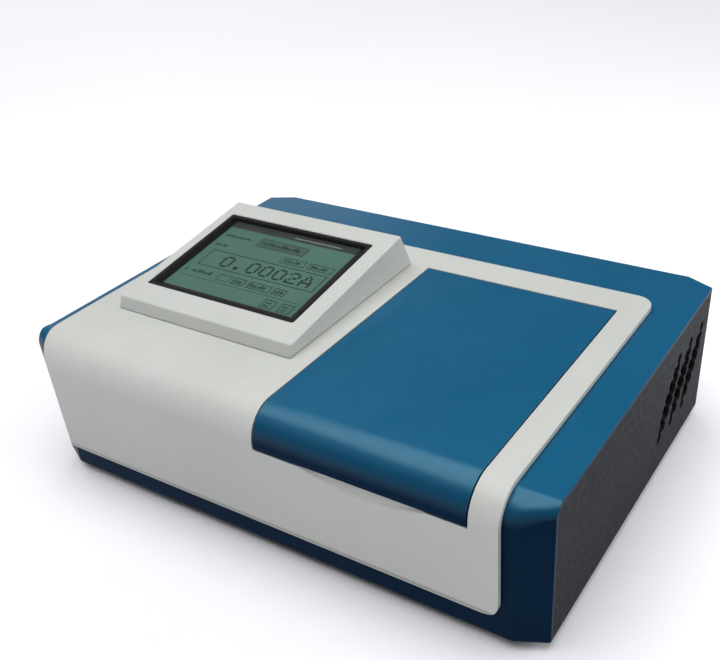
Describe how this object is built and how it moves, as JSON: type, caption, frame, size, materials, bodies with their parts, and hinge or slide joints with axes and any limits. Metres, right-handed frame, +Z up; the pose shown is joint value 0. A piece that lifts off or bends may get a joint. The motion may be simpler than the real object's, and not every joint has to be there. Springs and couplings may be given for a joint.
{
  "type": "spectrophotometer",
  "caption": "Low, wide bench spectrophotometer with a hinged sample lid, a tilted touch screen and a full optical bench inside.",
  "frame": {"origin": "middle of the footprint, on the surface that the rubber feet stand on", "axes": "+X to the right of the operator, +Y to the rear, +Z up; the white front cover faces -Y"},
  "size_m": [0.46, 0.335, 0.1635],
  "materials": {
    "tray_paint": "satin powder coat",
    "blue_shell": "fine satin paint",
    "grey_panel": "fine textured paint",
    "rear_paint": "fine textured paint",
    "white_cover": "fine moulded texture",
    "foot_rubber": "matt",
    "zinc_screws": "zinc plated",
    "black_screws": "nickel plated",
    "white_housing": "fine moulded texture",
    "bezel_black": "satin",
    "screen_glass": "glossy film over a grey-green liquid crystal",
    "lcd_can": "tinned",
    "circuit_board": "solder mask",
    "blue_lid": "fine satin paint",
    "black_liner": "matt black",
    "hinge_steel": "zinc plated",
    "pin_steel": "ground",
    "seal_foam": "closed-cell foam",
    "cast_plate": "machined casting",
    "chamber_black": "matt black anodised",
    "optic_glass": "polished",
    "carriage_black": "black anodised",
    "brass_parts": "turned",
    "motor_black": "satin black",
    "mono_black": "black painted casting",
    "mirror_coat": "aluminised",
    "machined_aluminium": "turned",
    "grating_coat": "ruled",
    "filter_glass": "polished",
    "ceramic_white": "ceramic",
    "lamp_glass": "clear",
    "supply_cage": "galvanised",
    "fan_black": "moulded",
    "guard_wire": "nickel plated",
    "inlet_black": "moulded",
    "rocker_black": "moulded",
    "port_nickel": "nickel plated"
  },
  "bodies": {
    "root": {"base_tray": "tray_paint", "body_shell": "blue_shell", "side_panel_left": "grey_panel", "side_panel_right": "grey_panel", "rear_panel": "rear_paint", "front_cover": "white_cover", "rubber_feet": "foot_rubber", "foot_screws": "zinc_screws", "rear_screws": "black_screws", "display_housing": "white_housing", "display_bezel": "bezel_black", "touch_panel": "screen_glass", "lcd_module": "lcd_can", "display_board": "circuit_board", "hinge_brackets": "hinge_steel", "hinge_pins": "pin_steel", "lid_seal": "seal_foam", "optics_plate": "cast_plate", "plate_posts": "hinge_steel", "sample_chamber": "chamber_black", "entry_lens": "optic_glass", "exit_window": "optic_glass", "carriage_rods": "pin_steel", "carriage_motor": "motor_black", "monochromator_box": "mono_black", "monochromator_lid": "mono_black", "slit_plates": "brass_parts", "collimating_mirror": "mirror_coat", "focusing_mirror": "mirror_coat", "fold_mirror": "mirror_coat", "grating_motor": "motor_black", "filter_motor": "motor_black", "lamp_housing": "cast_plate", "lamp_holder": "ceramic_white", "halogen_lamp": "lamp_glass", "condenser_mirror": "mirror_coat", "detector_module": "mono_black", "main_board": "circuit_board", "power_supply": "supply_cage", "fan_frame": "fan_black", "fan_guard": "guard_wire", "power_inlet": "inlet_black", "inlet_pins": "brass_parts", "switch_frame": "inlet_black", "data_ports": "port_nickel"},
    "lid": {"sample_lid": "blue_lid", "lid_liner": "black_liner", "hinge_arms": "hinge_steel"},
    "carriage": {"cuvette_carriage": "carriage_black", "carriage_nut": "brass_parts"},
    "lead_screw": {"carriage_screw": "pin_steel"},
    "grating_stage": {"grating_table": "machined_aluminium", "grating": "grating_coat", "worm_wheel": "brass_parts"},
    "worm": {"worm_shaft": "pin_steel"},
    "filter_wheel": {"filter_wheel": "machined_aluminium", "filters": "filter_glass"},
    "fan_rotor": {"fan_rotor": "fan_black"},
    "power_rocker": {"switch_rocker": "rocker_black"}
  },
  "joints": [
    {"name": "lid_hinge", "type": "hinge", "parent": "root", "child": "lid", "pos_m": [0, 0.1025, 0.121], "axis": [-1, 0, 0], "range_deg": [0, 80]},
    {"name": "carriage_slide", "type": "slide", "parent": "root", "child": "carriage", "axis": [0, -1, 0], "range_m": [0, 0.051]},
    {"name": "lead_screw_turn", "type": "hinge", "parent": "root", "child": "lead_screw", "pos_m": [0.092, 0, 0.044], "axis": [0, 1, 0], "range_deg": [0, 2295]},
    {"name": "grating_turn", "type": "hinge", "parent": "root", "child": "grating_stage", "pos_m": [-0.045, 0.035, 0.049], "axis": [0, 0, 1], "range_deg": [-12, 14]},
    {"name": "worm_turn", "type": "hinge", "parent": "root", "child": "worm", "pos_m": [-0.045, 0.0606, 0.049], "axis": [1, 0, 0], "range_deg": [-720, 840]},
    {"name": "filter_wheel_turn", "type": "hinge", "parent": "root", "child": "filter_wheel", "pos_m": [-0.068, 0.078, 0.07], "axis": [0, 1, 0], "continuous": true},
    {"name": "fan_spin", "type": "hinge", "parent": "root", "child": "fan_rotor", "pos_m": [0.11, 0.15, 0.064], "axis": [0, 1, 0], "continuous": true},
    {"name": "power_rocker_turn", "type": "hinge", "parent": "root", "child": "power_rocker", "pos_m": [-0.1365, 0.1585, 0.052], "axis": [1, 0, 0], "range_deg": [0, 18]}
  ],
  "couplings": [
    {"joint": "lead_screw_turn", "follows": "carriage_slide", "rad_per_m": 785.4},
    {"joint": "worm_turn", "follows": "grating_turn", "ratio": 60}
  ]
}
